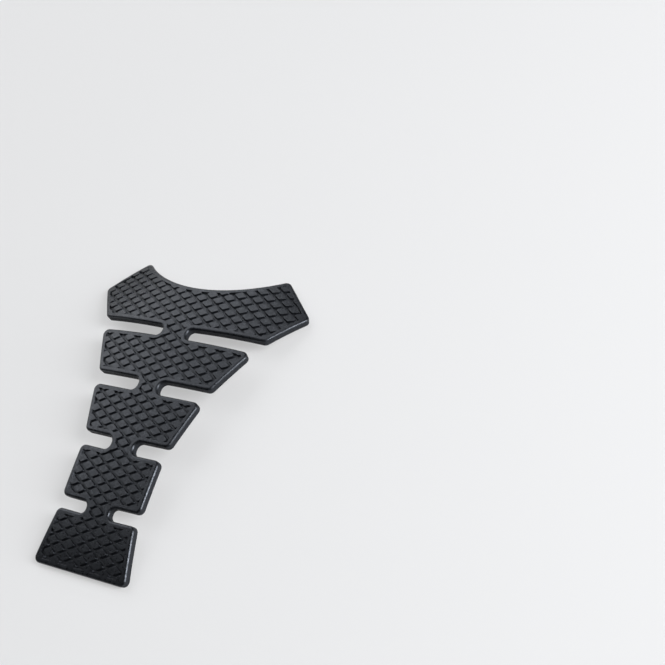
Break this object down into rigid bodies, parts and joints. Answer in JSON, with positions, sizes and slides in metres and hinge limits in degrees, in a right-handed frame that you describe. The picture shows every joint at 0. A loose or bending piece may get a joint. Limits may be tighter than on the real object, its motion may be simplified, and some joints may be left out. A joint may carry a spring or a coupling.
{
  "type": "motorcycle tank pad",
  "caption": "Spine-shaped rubber tank pad with winged head, slotted segments and a raised diamond tread, bent to lie over a fuel tank.",
  "frame": {"origin": "middle of the pad's box, on the surface that its back edges rest on", "axes": "+X the rider's right, +Y from the tail to the winged head, +Z out of the tank"},
  "size_m": [0.1536, 0.2066, 0.0204],
  "materials": {
    "rubber": "satin"
  },
  "bodies": {
    "root": {"tank_pad": "rubber"}
  },
  "joints": []
}
